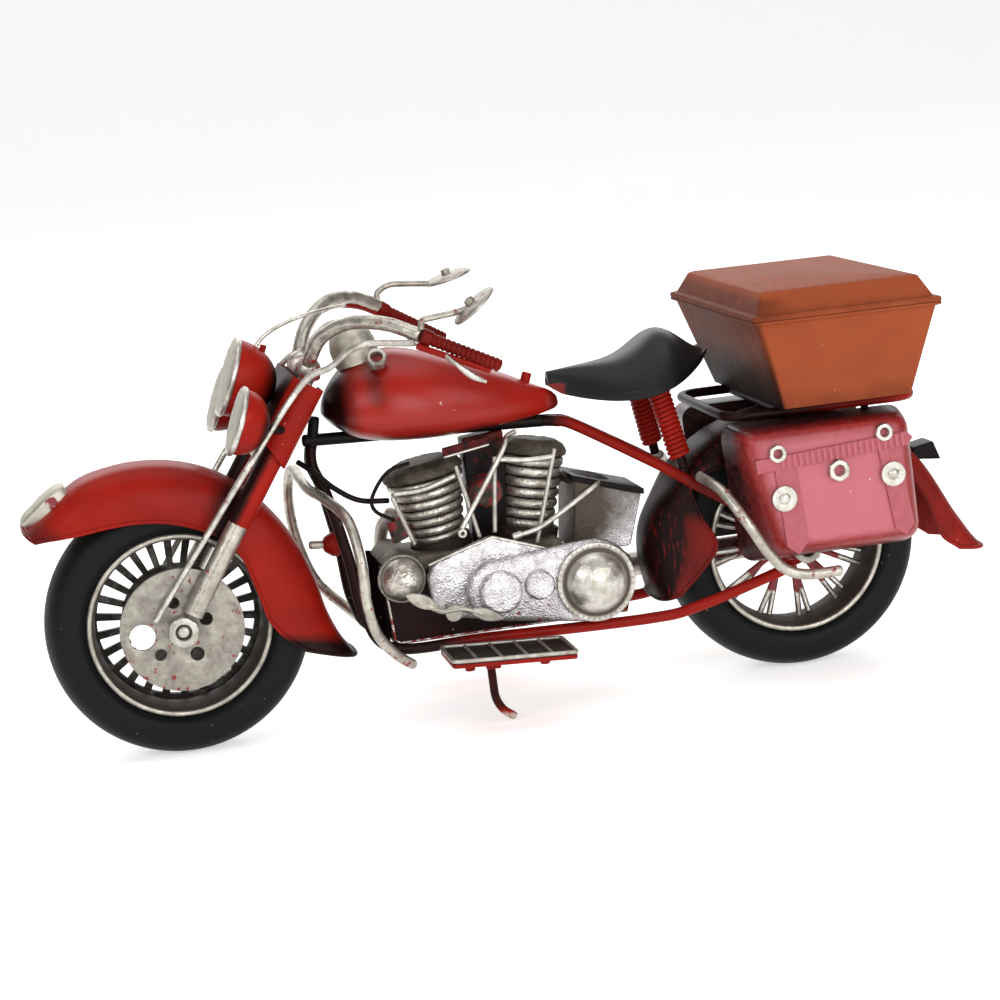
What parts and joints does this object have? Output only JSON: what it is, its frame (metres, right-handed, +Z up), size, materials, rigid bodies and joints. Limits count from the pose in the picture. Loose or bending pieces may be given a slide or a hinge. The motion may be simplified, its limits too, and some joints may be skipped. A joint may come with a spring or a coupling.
{
  "type": "tin model motorcycle",
  "caption": "Tin model motorcycle with steering fork, spoked wheels, V-twin engine, saddle, saddlebags and a top box with a hinged lid.",
  "frame": {"origin": "centre of the bounding box's bottom, on the ground under the middle of the bike", "axes": "+X to the rear, +Y to the rider's right, +Z up"},
  "size_m": [0.2988, 0.0932, 0.1333],
  "materials": {
    "red_paint": "satin red enamel over tin, airbrushed with black shading and worn to bare metal in specks",
    "black_paint": "satin black enamel with red showing through",
    "antique_silver": "hammered antique silver with a brown wash",
    "dark_casting": "dark washed silver on the finned engine pieces",
    "tyre_rubber": "smooth black rubber",
    "saddle_black": "semi-matt black",
    "tan_paint": "semi-matt tan enamel with dark airbrushed shading"
  },
  "bodies": {
    "root": {"head_tube": "black_paint", "backbone_tube": "black_paint", "cradle_tube_left": "red_paint", "cradle_tube_right": "red_paint", "seat_stay_left": "red_paint", "seat_stay_right": "red_paint", "fuel_tank": "red_paint", "dash_cover": "antique_silver", "saddle": "saddle_black", "saddle_spring_left": "red_paint", "saddle_spring_right": "red_paint", "engine_tray": "red_paint", "crankcase": "dark_casting", "timing_cover": "antique_silver", "cylinder_front": "dark_casting", "cylinder_rear": "dark_casting", "cylinder_head_front": "dark_casting", "cylinder_head_rear": "dark_casting", "generator_dome": "dark_casting", "clutch_dome": "antique_silver", "primary_cover": "antique_silver", "oil_line_front": "antique_silver", "air_box": "antique_silver", "exhaust_pipe": "antique_silver", "shift_pedal": "antique_silver", "footboard_left": "antique_silver", "footboard_right": "antique_silver", "crash_bar": "antique_silver", "guard_bar_left": "antique_silver", "guard_bar_right": "antique_silver", "luggage_rack": "black_paint", "rear_fender": "red_paint", "saddlebag_left": "red_paint", "saddlebag_right": "red_paint", "top_box": "tan_paint", "rear_axle": "antique_silver"},
    "steering": {"steering_stem": "antique_silver", "fork_leg_left": "red_paint", "fork_leg_right": "red_paint", "fork_shroud": "red_paint", "front_fender": "red_paint", "fender_lamp": "antique_silver", "front_axle": "antique_silver", "headlight": "red_paint", "spot_lamp_left": "red_paint", "spot_lamp_right": "red_paint", "handlebar": "antique_silver", "grip_left": "red_paint", "grip_right": "red_paint", "mirror_left": "antique_silver", "mirror_right": "antique_silver", "brake_rod_left": "antique_silver", "brake_rod_right": "antique_silver"},
    "front_wheel": {"front_tyre": "tyre_rubber", "front_rim": "antique_silver", "brake_disc": "antique_silver"},
    "rear_wheel": {"rear_tyre": "tyre_rubber", "rear_rim": "antique_silver"},
    "side_stand": {"side_stand": "red_paint"},
    "box_lid": {"box_lid": "tan_paint"}
  },
  "joints": [
    {"name": "steering", "type": "hinge", "parent": "root", "child": "steering", "pos_m": [-0.1041, 0, 0.03864], "axis": [0.5446, 0, 0.8387], "range_deg": [-15, 15]},
    {"name": "front_wheel_spin", "type": "hinge", "parent": "steering", "child": "front_wheel", "pos_m": [-0.1062, 0, 0.04], "axis": [0, 1, 0], "continuous": true},
    {"name": "rear_wheel_spin", "type": "hinge", "parent": "root", "child": "rear_wheel", "pos_m": [0.0867, 0, 0.04], "axis": [0, 1, 0], "continuous": true},
    {"name": "stand_fold", "type": "hinge", "parent": "root", "child": "side_stand", "pos_m": [-0.0162, -0.024, 0.0189], "axis": [0, -1, 0], "range_deg": [0, 60]},
    {"name": "lid_open", "type": "hinge", "parent": "root", "child": "box_lid", "pos_m": [0.127, 0, 0.1148], "axis": [0, 1, 0], "range_deg": [0, 100]}
  ]
}
